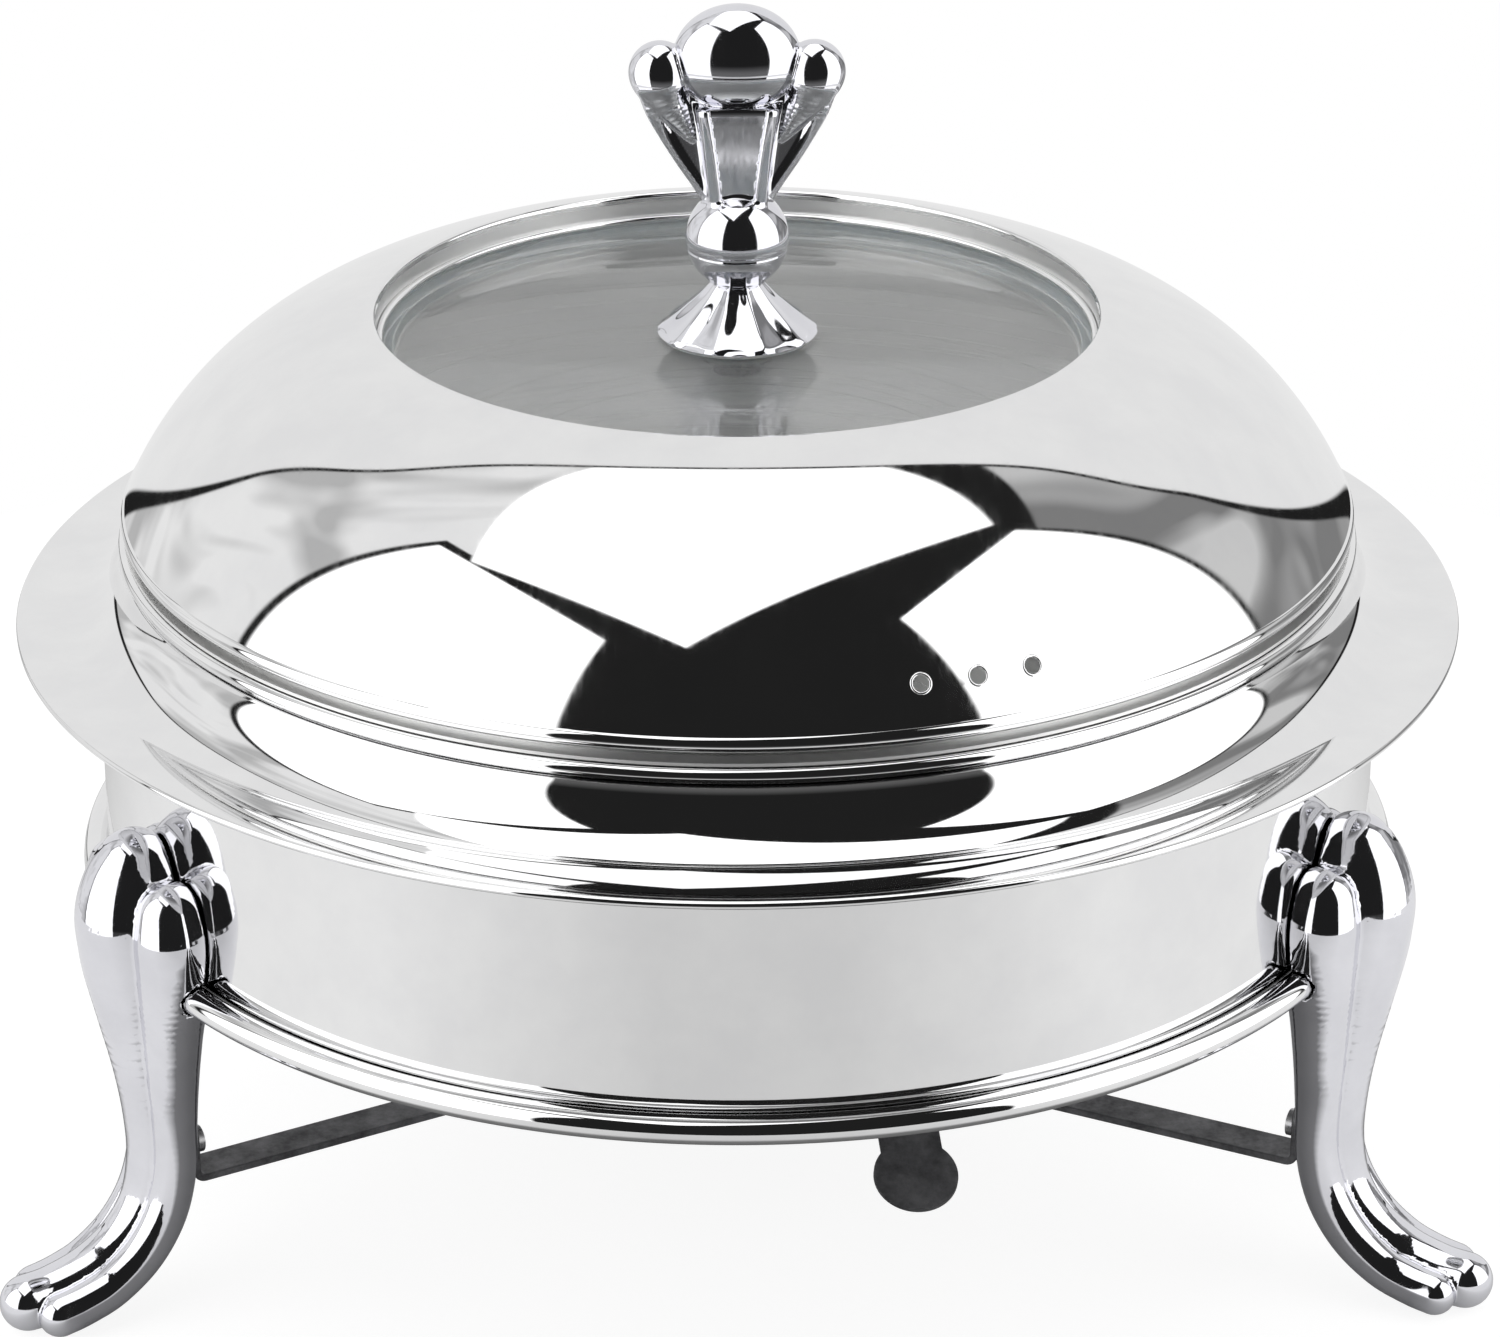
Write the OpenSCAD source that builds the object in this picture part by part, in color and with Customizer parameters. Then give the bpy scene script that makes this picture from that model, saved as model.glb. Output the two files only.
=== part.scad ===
// Round footed chafing dish: a three-legged cast stand that carries a drum-shaped water pan,
// a food pan, a domed lid with a glass window and a cast knob, and a spirit burner below.
// Millimetres. The origin is on the pan's axis, at the level of the table. +Z is up, -Y is the front.

/* [Overall] */
// Height of the brim's flat top above the table
brim_z = 155; // [150:1:162]
// Radius of the brim's outer edge
brim_r = 180; // [178:1:186]

/* [Water pan] */
// Outer radius of the drum
pan_r = 160.3; // [160.3:0.1:160.4]
// Depth of the drum, from the brim's top to its underside
pan_depth = 70; // [69:0.5:71]
// Sheet thickness of the pans and the dome
sheet = 1; // [0.8:0.1:1.2]

/* [Food pan] */
// Depth of the food pan below its rim
food_depth = 62; // [50:1:66]

/* [Lid] */
// Height of the window's edge above the brim
window_rise = 74.7; // [73:0.1:76]
// Radius of the window's edge
window_r = 90; // [86:1:92]
// Slope of the dome at the window's edge, in degrees
dome_slope = 10.6; // [8:0.1:13]
// Diameter of each steam vent
vent_d = 4; // [3:0.5:5]

/* [Stand] */
// Angle of each front leg from straight ahead, in degrees
leg_spread = 61.5; // [58:0.5:63]
// Radius of the support ring's centreline
ring_r = 163.2; // [163.2:0.1:163.3]
// Diameter of the support ring's rod
rod_d = 7; // [6:0.5:7]
// Width of each burner bar
bar_w = 10.5; // [10:0.5:12]

/* [Burner] */
// Radius of the burner cup
cup_r = 39; // [38.5:0.5:40]
// Height of the burner cup
cup_h = 28; // [24:1:29]
// Radius of the flame opening
flame_r = 23; // [18:1:24]

/* [Hidden] */
$fn = 96;
tiny = 0.01;

// Play round a fixed screw or rivet, and the gap between pieces that lift apart
play = 0.05;
gap = 0.3;

// Stand
leg_turn = [270 - leg_spread, 270 + leg_spread, 90];
rod_r = rod_d / 2;
pan_floor_z = brim_z - pan_depth;
pan_corner_r = 9;
// The ring's height, from the drum's rounded corner that rests on it
ring_z = pan_floor_z + pan_corner_r
    - sqrt(pow(pan_corner_r + rod_r + gap, 2) - pow(ring_r - pan_r + pan_corner_r, 2));
bar_t = 2;
bar_top = 32;
tab_face_r = 157.8;
face_cut_w = 28;
tab_h = 17;
tab_screw_z = 39.5;
screw_r = 2;
head_r = 3.4;
head_t = 2.3;
tab_screw_len = 11;
bar_start_r = 12;
plate_r = 45;
plate_t = 1.5;
rivet_at_r = 30;
rivet_r = 2;

// Leg stations, from the knee's top to the toe's tip. Each gives the centre reed's place
// (distance from the axis, height) and radius, then the side reeds' sideways offset, radius
// and setback towards the axis.
LEG = [
    [166.6, 127.2, 1.0, 8.0, 0.6, 2.0],
    [166.6, 125.8, 5.2, 9.0, 1.0, 2.5],
    [166.8, 121.6, 9.2, 12.0, 1.4, 3.0],
    [167.4, 116.4, 11.6, 14.4, 3.6, 3.4],
    [167.8, 111.0, 13.0, 15.0, 8.2, 3.6],
    [168.1, 105.5, 14.0, 15.0, 9.5, 3.7],
    [168.0, 94.0, 13.0, 13.8, 9.0, 4.0],
    [167.2, 80.0, 11.2, 11.2, 7.8, 3.4],
    [165.8, 64.0, 9.3, 8.9, 6.4, 2.1],
    [165.0, 50.0, 8.3, 7.3, 5.7, 1.6],
    [165.2, 38.0, 7.9, 7.1, 5.5, 1.4],
    [168.0, 26.0, 7.7, 7.3, 5.4, 1.2],
    [174.4, 16.8, 7.5, 7.5, 5.4, 1.0],
    [184.0, 10.5, 7.3, 7.7, 5.4, 0.8],
    [194.0, 7.2, 7.2, 7.8, 5.4, 0.8],
    [201.0, 6.8, 7.0, 7.6, 2.2, 0.8],
    [205.8, 6.8, 4.8, 7.0, 0.8, 1.0],
    [208.1, 6.8, 1.2, 3.0, 0.3, 1.0]
];
leg_steps = 2;
leg_sides = 36;

// Water pan and collar
flange_r = 173;
cove_r = 15;
cove_c = [168, brim_z + cove_r];
lip_z = brim_z + 15.5;
lip_r = 150.4;

// Food pan: its rim is a rolled bead that rests on the collar's lip
bead_r = 1.95;
bead_at = [152, lip_z + gap + bead_r];
pan_rim_z = bead_at[1] + bead_r;
food_wall_r = 149.8;
food_base_r = 143;
food_corner_r = 12;
food_floor_z = pan_rim_z - food_depth;

// Lid
lid_bead_r = 2.3;
lid_bead_at = [150.65, pan_rim_z + 5.25];
dome_start = [152, brim_z + 27];
dome_end = [window_r, brim_z + window_rise];
dome_d = dome_start - dome_end;
dome_arc_r = -(dome_d * dome_d) / (2 * (dome_d[0] * sin(dome_slope) + dome_d[1] * cos(dome_slope)));
dome_c = dome_end - dome_arc_r * [sin(dome_slope), cos(dome_slope)];
dome_a0 = atan2(dome_start[1] - dome_c[1], dome_start[0] - dome_c[0]);
dome_a1 = 90 - dome_slope;
well_r = window_r - 1.2;
shelf_z = dome_end[1] - 12.2;
shelf_r = well_r - 4.8;
vent_a = 32;
vent_turn = [14.5, 19.8, 25.1];
seat_r = 148.3;
seat_t = 0.8;
seat_drop = 8;
seat_rise = 8;

// Window and knob
seal_t = 0.6;
glass_t = 4;
glass_r = well_r - 0.8;
glass_z = shelf_z + seal_t;
glass_top = glass_z + glass_t;
glass_hole_r = 4.2;
snap_r = 0.9;
knob_seal_t = 0.8;
foot_z = glass_top + knob_seal_t;
foot_r = 19.7;
foot_h = 13;
neck_r = 6.6;
// Outline of the knob's foot: share of its radius, height above the glass seal
foot_flare = [[1, 1.2], [0.84, 3.3], [0.62, 6.6], [0.45, 9.8], [neck_r / foot_r, foot_h]];
ball_r = 12.7;
ball_z = brim_z + 92;
crown_z = brim_z + 101;
knob_screw_r = 3;
knob_head_r = 6;
knob_head_t = 3.4;
washer_r = 9;
washer_t = 1.2;

// Crown stations: height above the stem's start, centre lobe's half width and half depth,
// side lobes' offset, half width and half depth.
CROWN = [
    [0, 7.4, 7.0, 3.0, 4.2, 4.0],
    [6, 8.0, 7.4, 5.8, 4.6, 4.2],
    [14, 9.2, 8.2, 10.2, 5.0, 4.8],
    [22, 11.2, 9.4, 14.4, 5.7, 5.6],
    [29, 13.8, 11.0, 17.8, 6.9, 6.6],
    [34, 15.5, 12.4, 18.9, 7.1, 6.8],
    [38, 15.7, 12.8, 18.2, 5.3, 5.0],
    [40, 15.4, 12.7, 17.2, 2.4, 2.2],
    [44, 13.4, 11.2, 12.0, 0.6, 0.5],
    [48, 9.2, 7.8, 7.0, 0.4, 0.3],
    [50.4, 3.6, 3.0, 2.0, 0.3, 0.2],
    [50.8, 1.0, 0.8, 0.5, 0.1, 0.1]
];
crown_steps = 2;
crown_sides = 36;

// Burner
cup_z = bar_top + plate_t;
cup_t = 0.8;
cup_corner_r = 4;
cup_top_z = cup_z + cup_h;
top_t = 1;
top_r = cup_r + 3.3;
top_skirt = 3;
wick_h = 15;
pivot = [27, 19];
pivot_r = 2.5;
pivot_play = 0.06;
pivot_head_r = 4;
damper_t = 1.2;
damper_gap = 0.1;
damper_r = flame_r + 4;
damper_z = cup_top_z + top_t + damper_gap;
handle_turn = 6.2;
handle_flat = 78;
handle_len = 132;
handle_drop = 21;
handle_w = 15;
paddle_r = 10.3;
paddle_t = 1.2;

// A point on an arc, and the points of an arc from angle a0 to a1
function on_arc(c, r, a) = c + r * [cos(a), sin(a)];
function arc(c, r, a0, a1, n = 8) = [for (i = [0:n]) on_arc(c, r, a0 + (a1 - a0) * i / n)];

// The outline of a sheet of thickness t that follows a path, on the path's left side
function unit(v) = v / norm(v);
function left(v) = [-v[1], v[0]];
function side_at(p, i) =
    let (
        a = unit(p[max(i, 1)] - p[max(i, 1) - 1]),
        b = unit(p[min(i + 1, len(p) - 1)] - p[min(i, len(p) - 2)]),
        n = unit(left(a) + left(b))
    ) n / (n * left(a));
function sheet_along(p, t) = concat(p, [for (i = [len(p) - 1:-1:0]) p[i] + t * side_at(p, i)]);

// Station values between the given rows, on a smooth curve through them
function blend4(a, b, c, d, t) =
    0.5 * (2 * b + (c - a) * t + (2 * a - 5 * b + 4 * c - d) * t * t
    + (3 * b - a - 3 * c + d) * t * t * t);
function smooth(rows, steps) = [
    for (i = [0:len(rows) - 2], k = [0:steps - 1])
        blend4(rows[max(i - 1, 0)], rows[i], rows[i + 1], rows[min(i + 2, len(rows) - 1)], k / steps),
    rows[len(rows) - 1]
];

// Distance along direction a to the far side of an ellipse centred at c with half axes r
function reach(c, r, a) =
    let (
        d = [cos(a) / r[0], sin(a) / r[1]],
        m = [c[0] / r[0], c[1] / r[1]],
        b = d * m,
        k = b * b - (d * d) * (m * m - 1)
    ) k < 0 ? 0 : (b + sqrt(k)) / (d * d);
// A closed skin over rings of equal length, with flat end caps
module skin(rings) {
    n = len(rings[0]);
    m = len(rings);
    polyhedron(
        points = [for (r = rings, q = r) q],
        faces = concat(
            [[for (j = [0:n - 1]) j]],
            [for (i = [0:m - 2], j = [0:n - 1])
                [i * n + j, (i + 1) * n + j, (i + 1) * n + (j + 1) % n]],
            [for (i = [0:m - 2], j = [0:n - 1])
                [i * n + j, (i + 1) * n + (j + 1) % n, i * n + (j + 1) % n]],
            [[for (j = [n - 1:-1:0]) (m - 1) * n + j]]
        ),
        convexity = 8
    );
}

module ring_of(path, t) {
    rotate_extrude() polygon(sheet_along(path, t));
}

module tube(r_out, r_in, z, h) {
    translate([0, 0, z]) difference() {
        cylinder(r = r_out, h = h);
        translate([0, 0, -1]) cylinder(r = r_in, h = h + 2);
    }
}

module torus(at, r) {
    rotate_extrude() translate(at) circle(r = r, $fn = 32);
}

// A round bar that points away from the axis
module radial_rod(z, r_from, len, r) {
    translate([r_from, 0, z]) rotate([0, 90, 0]) cylinder(r = r, h = len, $fn = 32);
}

// ---- Stand ----

// One ring of a leg's skin: the outline of three reeds side by side, square to the leg's line
function leg_ring(rows, i) =
    let (
        s = rows[i],
        t = unit([for (k = [0:1]) rows[min(i + 1, len(rows) - 1)][k] - rows[max(i - 1, 0)][k]]),
        n = left(t)
    ) [for (j = [0:leg_sides - 1])
        let (
            a = 360 * j / leg_sides,
            d = max(
                reach([0, 0], [s[2], s[2]], a),
                reach([-s[5], s[3]], [s[4], s[4]], a),
                reach([-s[5], -s[3]], [s[4], s[4]], a)
            ),
            u = d * cos(a),
            v = d * sin(a)
        ) [s[0] + u * n[0], v, s[1] + u * n[1]]];

module leg(turn) {
    rows = smooth(LEG, leg_steps);
    rotate([0, 0, turn]) difference() {
        skin([for (i = [0:len(rows) - 1]) leg_ring(rows, i)]);
        rotate([0, 0, -turn]) translate([0, 0, pan_floor_z - gap]) cylinder(r = pan_r + gap, h = pan_depth);
        rotate([0, 0, -turn]) torus([ring_r, ring_z], rod_r + play);
        translate([tab_face_r - 20, -face_cut_w / 2, bar_top - 8]) cube([20, face_cut_w, tab_h + 12]);
        radial_rod(tab_screw_z, tab_face_r - 1, tab_screw_len, screw_r + play);
        translate([150, -40, -20]) cube([80, 80, 20]);
    }
}

module leg_front_left() color("gainsboro") leg(leg_turn[0]);
module leg_front_right() color("gainsboro") leg(leg_turn[1]);
module leg_rear() color("gainsboro") leg(leg_turn[2]);

module support_ring() color("silver") torus([ring_r, ring_z], rod_r);

// Pan-head screw that points away from the axis, its head's seat at r_seat
module radial_screw(z, r_seat, len) {
    radial_rod(z, r_seat, len, screw_r);
    radial_rod(z, r_seat - head_t, head_t, head_r);
}

// Flat bar from the burner plate to a leg, with an upturned tab at its outer end
module bar(turn) {
    tab_top = bar_top - bar_t + tab_h;
    rotate([0, 0, turn]) difference() {
        union() {
            translate([bar_start_r, -bar_w / 2, bar_top - bar_t])
                cube([tab_face_r - bar_start_r, bar_w, bar_t]);
            translate([tab_face_r - bar_t, -bar_w / 2, bar_top - bar_t])
                cube([bar_t, bar_w, tab_h - bar_w / 2]);
            radial_rod(tab_top - bar_w / 2, tab_face_r - bar_t, bar_t, bar_w / 2);
        }
        radial_rod(tab_screw_z, tab_face_r - bar_t - 1, bar_t + 2, screw_r + play);
        translate([rivet_at_r, 0, bar_top - bar_t - 1]) cylinder(r = rivet_r + play, h = bar_t + 2);
    }
}

module bar_front_left() color("dimgray") bar(leg_turn[0]);
module bar_front_right() color("dimgray") bar(leg_turn[1]);
module bar_rear() color("dimgray") bar(leg_turn[2]);

module bar_screws() color("silver")
    for (a = leg_turn) rotate([0, 0, a]) radial_screw(tab_screw_z, tab_face_r - bar_t, tab_screw_len);

module burner_plate() color("dimgray") difference() {
    translate([0, 0, bar_top]) cylinder(r = plate_r, h = plate_t);
    for (a = leg_turn) rotate([0, 0, a])
        translate([rivet_at_r, 0, bar_top - 1]) cylinder(r = rivet_r + play, h = plate_t + 2);
}

// Rivets through the bars and the plate, flush on top, headed below
module plate_rivets() color("silver") for (a = leg_turn) rotate([0, 0, a]) {
    translate([rivet_at_r, 0, bar_top - bar_t]) cylinder(r = rivet_r, h = bar_t + plate_t);
    translate([rivet_at_r, 0, bar_top - bar_t - 1.6]) cylinder(r = rivet_r + 1.5, h = 1.6);
}

// ---- Water pan ----

module water_pan() color("silver") ring_of(concat(
    [[tiny, pan_floor_z]],
    arc([pan_r - pan_corner_r, pan_floor_z + pan_corner_r], pan_corner_r, -90, 0),
    [[pan_r, brim_z - 2 * sheet], [flange_r, brim_z - 2 * sheet]]
), sheet);

// Flat brim with a hemmed edge, and the cove that rises from it to the lip
module brim_collar() color("gainsboro") union() {
    ring_of(concat(
        [[brim_r - 1, brim_z]],
        arc(cove_c, cove_r, 270, 180, 12),
        [[cove_c[0] - cove_r - 0.6, lip_z], [lip_r, lip_z]]
    ), sheet);
    rotate_extrude() union() {
        translate([brim_r - 1, brim_z - 1]) circle(r = 1, $fn = 24);
        translate([brim_r - 5, brim_z - 2]) square([4, 2]);
    }
}

// ---- Food pan ----

module food_pan() color("silver") union() {
    ring_of(concat(
        [[tiny, food_floor_z]],
        arc([food_base_r - food_corner_r, food_floor_z + food_corner_r], food_corner_r, -90, 0),
        [[food_wall_r, pan_rim_z - 3], [food_wall_r, pan_rim_z - 1]]
    ), 0.8);
    torus(bead_at, bead_r);
    tube(bead_at[0], food_wall_r - 0.8, pan_rim_z - 1, 1);
}

// ---- Lid ----

module lid_dome() color("gainsboro") difference() {
    union() {
        ring_of(concat(
            arc(dome_c, dome_arc_r, dome_a0, dome_a1, 32),
            [[well_r + 0.3, dome_end[1] - 0.4], [well_r, dome_end[1] - 1.4]],
            [[well_r, shelf_z], [shelf_r, shelf_z]]
        ), sheet);
        torus(lid_bead_at, lid_bead_r);
    }
    for (a = vent_turn) rotate([0, 0, a - 90])
        translate([dome_c[0], 0, dome_c[1]]) rotate([0, 90 - vent_a, 0])
            translate([0, 0, dome_arc_r - 5]) cylinder(r = vent_d / 2, h = 10, $fn = 32);
}

// Ring inside the dome's rim: a flange rests on the food pan and a skirt centres the lid in it
module lid_seat_ring() color("silver") union() {
    tube(seat_r, seat_r - seat_t, pan_rim_z + gap - seat_drop, seat_drop + seat_rise);
    tube(bead_at[0] + 0.4, seat_r - seat_t, pan_rim_z + gap, seat_t);
}

module window_gasket() color("lightgray") union() {
    tube(glass_r + 0.7, shelf_r + 0.5, shelf_z, seal_t);
    tube(glass_r + 0.7, glass_r + 0.1, shelf_z, seal_t + glass_t);
}

module window_glass() color([0.8, 0.9, 0.88, 0.35]) tube(glass_r, glass_hole_r, glass_z, glass_t);

// Round wire ring that keeps the glass down in its well
module window_snap_ring() color("silver") torus([well_r - snap_r - 0.05, glass_top + snap_r], snap_r);

// ---- Knob ----

function crown_ring(s) = [for (j = [0:crown_sides - 1])
    let (
        a = 360 * j / crown_sides,
        d = max(
            reach([0, 0], [s[1], s[2]], a),
            reach([s[3], 0], [s[4], s[5]], a),
            reach([-s[3], 0], [s[4], s[5]], a)
        )
    ) [d * cos(a), d * sin(a), crown_z + s[0]]];

// Cast crown of three lobes on a ball and a ringed neck, tapped from below
module knob_crown() color("gainsboro") difference() {
    union() {
        skin([for (s = smooth(CROWN, crown_steps)) crown_ring(s)]);
        translate([0, 0, ball_z]) sphere(r = ball_r);
        translate([0, 0, foot_z + foot_h]) cylinder(r = neck_r, h = ball_z - foot_z - foot_h);
        torus([neck_r - 0.4, foot_z + foot_h + 1.2], 1.2);
    }
    translate([0, 0, foot_z]) cylinder(r = knob_screw_r + play, h = ball_z - foot_z);
    translate([0, 0, foot_z]) cylinder(r = 2 * neck_r, h = foot_h);
}

// Flared foot that spreads the knob's load on the glass
module knob_foot() color("gainsboro") difference() {
    rotate_extrude() polygon(concat(
        [[0, foot_z + foot_h], [0, foot_z], [foot_r, foot_z]],
        [for (p = smooth(foot_flare, 3)) [foot_r * p[0], foot_z + p[1]]]
    ));
    translate([0, 0, foot_z - 1]) cylinder(r = knob_screw_r + 0.3, h = foot_h + 2);
}

module knob_gasket_upper() color("lightgray")
    tube(foot_r - 1, knob_screw_r + 0.3, glass_top, knob_seal_t);

module knob_gasket_lower() color("lightgray")
    tube(washer_r + 1, knob_screw_r + 0.3, glass_z - knob_seal_t, knob_seal_t);

module knob_washer() color("silver")
    tube(washer_r, knob_screw_r + 0.3, glass_z - knob_seal_t - washer_t, washer_t);

module knob_screw() color("silver") {
    seat = glass_z - knob_seal_t - washer_t;
    difference() {
        translate([0, 0, seat - knob_head_t]) cylinder(r = knob_head_r, h = knob_head_t);
        translate([-knob_head_r, -0.6, seat - knob_head_t - 1]) cube([2 * knob_head_r, 1.2, 2.4]);
    }
    translate([0, 0, seat]) cylinder(r = knob_screw_r, h = ball_z - seat - 2);
}

// ---- Burner ----

module burner_cup() color("silver") ring_of(concat(
    [[tiny, cup_z]],
    arc([cup_r - cup_corner_r, cup_z + cup_corner_r], cup_corner_r, -90, 0),
    [[cup_r, cup_top_z - cup_t], [cup_r + 2, cup_top_z - cup_t]]
), cup_t);

module wick_pad() color("ivory")
    translate([0, 0, cup_z + cup_t]) cylinder(r1 = cup_r - cup_corner_r, r2 = cup_r - 2, h = wick_h);

// Fixed top with the flame opening, its skirt folded down over the cup's rim
module burner_top() color("silver") difference() {
    union() {
        tube(top_r, flame_r, cup_top_z, top_t);
        tube(top_r, cup_r + 2.4, cup_top_z - top_skirt, top_skirt + top_t);
    }
    translate([pivot[0], pivot[1], cup_top_z - 1]) cylinder(r = pivot_r + play, h = top_t + 2);
}

module damper_rivet() color("silver") translate([pivot[0], pivot[1], 0]) {
    translate([0, 0, cup_top_z - 1.5]) cylinder(r = pivot_head_r, h = 1.5);
    translate([0, 0, cup_top_z]) cylinder(r = pivot_r, h = top_t + damper_t + 2 * damper_gap);
    translate([0, 0, damper_z + damper_t + damper_gap]) cylinder(r = pivot_head_r, h = 1.4);
}

// Swinging cover: a disc over the flame opening, an ear at the pivot and a paddle handle
module damper() color("slategray") {
    fall = [for (p = [[0, 0], [1, -1]]) [handle_flat + p[0] * (handle_len - handle_flat - paddle_r),
        p[1] * handle_drop]];
    tilt = atan2(handle_drop, fall[1][0] - fall[0][0]);
    slope_len = norm(fall[1] - fall[0]);
    difference() {
        union() {
            translate([0, 0, damper_z]) cylinder(r = damper_r, h = damper_t);
            translate([pivot[0], pivot[1], damper_z]) {
                cylinder(r = handle_w / 2, h = damper_t);
                rotate([0, 0, handle_turn - 90]) {
                    translate([0, -handle_w / 2, 0]) cube([handle_flat, handle_w, damper_t]);
                    translate([handle_flat, 0, 0]) rotate([0, tilt, 0]) {
                        translate([-1, -handle_w / 2, 0]) cube([slope_len + 1, handle_w, paddle_t]);
                        translate([slope_len, 0, 0]) cylinder(r = paddle_r, h = paddle_t);
                    }
                }
            }
        }
        translate([pivot[0], pivot[1], damper_z - 1])
            cylinder(r = pivot_r + pivot_play, h = damper_t + 2);
    }
}

leg_front_left();
leg_front_right();
leg_rear();
support_ring();
bar_front_left();
bar_front_right();
bar_rear();
bar_screws();
burner_plate();
plate_rivets();
water_pan();
brim_collar();
food_pan();
lid_dome();
lid_seat_ring();
window_gasket();
window_glass();
window_snap_ring();
knob_crown();
knob_foot();
knob_gasket_upper();
knob_gasket_lower();
knob_washer();
knob_screw();
burner_cup();
wick_pad();
burner_top();
damper_rivet();
damper();
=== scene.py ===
"""Looks of the round chafing dish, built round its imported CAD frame. Lengths are in metres."""
import math
import bpy
import numpy as np
from mathutils import Matrix, Vector


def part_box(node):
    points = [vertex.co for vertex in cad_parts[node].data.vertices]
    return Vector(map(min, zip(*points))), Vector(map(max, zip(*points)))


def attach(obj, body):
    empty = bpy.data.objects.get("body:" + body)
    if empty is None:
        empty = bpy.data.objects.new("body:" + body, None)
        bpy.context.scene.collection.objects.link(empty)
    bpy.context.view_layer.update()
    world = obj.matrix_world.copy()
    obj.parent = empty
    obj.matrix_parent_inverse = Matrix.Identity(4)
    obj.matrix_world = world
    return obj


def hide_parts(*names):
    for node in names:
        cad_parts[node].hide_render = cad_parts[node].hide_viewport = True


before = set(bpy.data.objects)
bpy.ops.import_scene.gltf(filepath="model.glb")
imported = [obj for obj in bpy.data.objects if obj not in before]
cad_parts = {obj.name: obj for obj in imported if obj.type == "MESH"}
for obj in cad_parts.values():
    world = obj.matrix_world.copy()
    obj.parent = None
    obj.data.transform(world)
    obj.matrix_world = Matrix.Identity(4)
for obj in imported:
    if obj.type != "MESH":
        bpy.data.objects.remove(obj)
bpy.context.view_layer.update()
MM = 0.001


# ---- Sizes, from the frame and given values ----

def low(node):
    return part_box(node)[0]


def high(node):
    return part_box(node)[1]


SHEET = 1.0 * MM
BRIM_Z = high("water_pan").z + SHEET
BRIM_R = high("brim_collar").x
FLANGE_R = high("water_pan").x
PAN_FLOOR_Z = low("water_pan").z
PAN_R = FLANGE_R - 12.7 * MM
RING_ROD = (high("support_ring").z - low("support_ring").z) / 2
RING_Z = (high("support_ring").z + low("support_ring").z) / 2
RING_R = high("support_ring").x - RING_ROD
LEG_SPREAD = 61.5
TURNS = {"front_left": 270 - LEG_SPREAD, "front_right": 270 + LEG_SPREAD, "rear": 90.0}
LIFT_GAP = 0.3 * MM
WINDOW_R = 90 * MM
WELL_R = WINDOW_R - 1.2 * MM
DOME_LEAN = 10.6
EDGE_LIP = 0.1 * MM
VIEW_TURN = math.radians(-1.75)


# ---- Outlines ----

def arc(centre, radius, a0, a1, steps):
    """Points of an arc in the (r, z) plane, angles in degrees."""
    turns = [math.radians(a0 + (a1 - a0) * i / steps) for i in range(steps + 1)]
    return [(centre[0] + radius * math.cos(a), centre[1] + radius * math.sin(a)) for a in turns]


def spline(rows, steps):
    """Rows of numbers on a smooth curve through the given rows."""
    rows = np.array(rows, float)
    out = []
    for i in range(len(rows) - 1):
        a, b = rows[max(i - 1, 0)], rows[i]
        c, d = rows[i + 1], rows[min(i + 2, len(rows) - 1)]
        for k in range(steps):
            t = k / steps
            out.append(0.5 * (2 * b + (c - a) * t + (2 * a - 5 * b + 4 * c - d) * t ** 2
                              + (3 * b - a - 3 * c + d) * t ** 3))
    out.append(rows[-1])
    return np.array(out)


def both_sides(path, thickness):
    """Closed outline of a sheet that follows a path, thickened on the path's left side."""
    p = np.array(path, float)
    step = np.diff(p, axis=0)
    step /= np.linalg.norm(step, axis=1)[:, None]
    first = np.vstack([step[:1], step])
    last = np.vstack([step, step[-1:]])
    left = np.stack([-(first + last)[:, 1], (first + last)[:, 0]], 1)
    left /= np.linalg.norm(left, axis=1)[:, None]
    scale = left[:, 0] * -first[:, 1] + left[:, 1] * first[:, 0]
    inner = p + left * (thickness / scale)[:, None]
    return [tuple(q) for q in p], [tuple(q) for q in inner[::-1]]


# ---- Mesh builders ----

def finish_mesh(name, verts, faces, materials, sharp=32.0):
    mesh = bpy.data.meshes.new(name)
    mesh.from_pydata([tuple(v) for v in verts], [], [tuple(f) for f in faces])
    mesh.validate()
    mesh.update()
    mesh.shade_smooth()
    mesh.set_sharp_from_angle(angle=math.radians(sharp))
    for m in materials:
        mesh.materials.append(m)
    obj = bpy.data.objects.new(name, mesh)
    bpy.context.scene.collection.objects.link(obj)
    return obj


def lathe(name, outline, materials, sides=256, second=(), sharp=32.0):
    """Turns a closed (r, z) outline, drawn anticlockwise, round the axis.
    Outline spans listed in second take the second material."""
    verts, rows, faces, kinds = [], [], [], []
    turns = [2 * math.pi * k / sides for k in range(sides)]
    for r, z in outline:
        if r < 0.02 * MM:
            rows.append([len(verts)] * sides)
            verts.append((0, 0, z))
            continue
        rows.append(list(range(len(verts), len(verts) + sides)))
        verts += [(r * math.cos(a), r * math.sin(a), z) for a in turns]
    for i in range(len(rows)):
        a, b = rows[i], rows[(i + 1) % len(rows)]
        if len(set(a)) == 1 and len(set(b)) == 1:
            continue
        for k in range(sides):
            n = (k + 1) % sides
            ring = list(dict.fromkeys([a[k], a[n], b[n], b[k]]))
            faces.append(ring)
            kinds.append(1 if any(lo <= i < hi for lo, hi in second) else 0)
    obj = finish_mesh(name, verts, faces, materials, sharp)
    if len(kinds) == len(obj.data.polygons):
        obj.data.polygons.foreach_set("material_index", kinds)
    return obj


def sample_grid(field, lo, hi, step):
    sizes = np.ceil((np.array(hi) - np.array(lo)) / step).astype(int) + 1
    axes = [lo[k] + step * np.arange(sizes[k]) for k in range(3)]
    points = np.stack(np.meshgrid(*axes, indexing="ij"), -1).reshape(-1, 3)
    return field(points).reshape(sizes)


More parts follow.
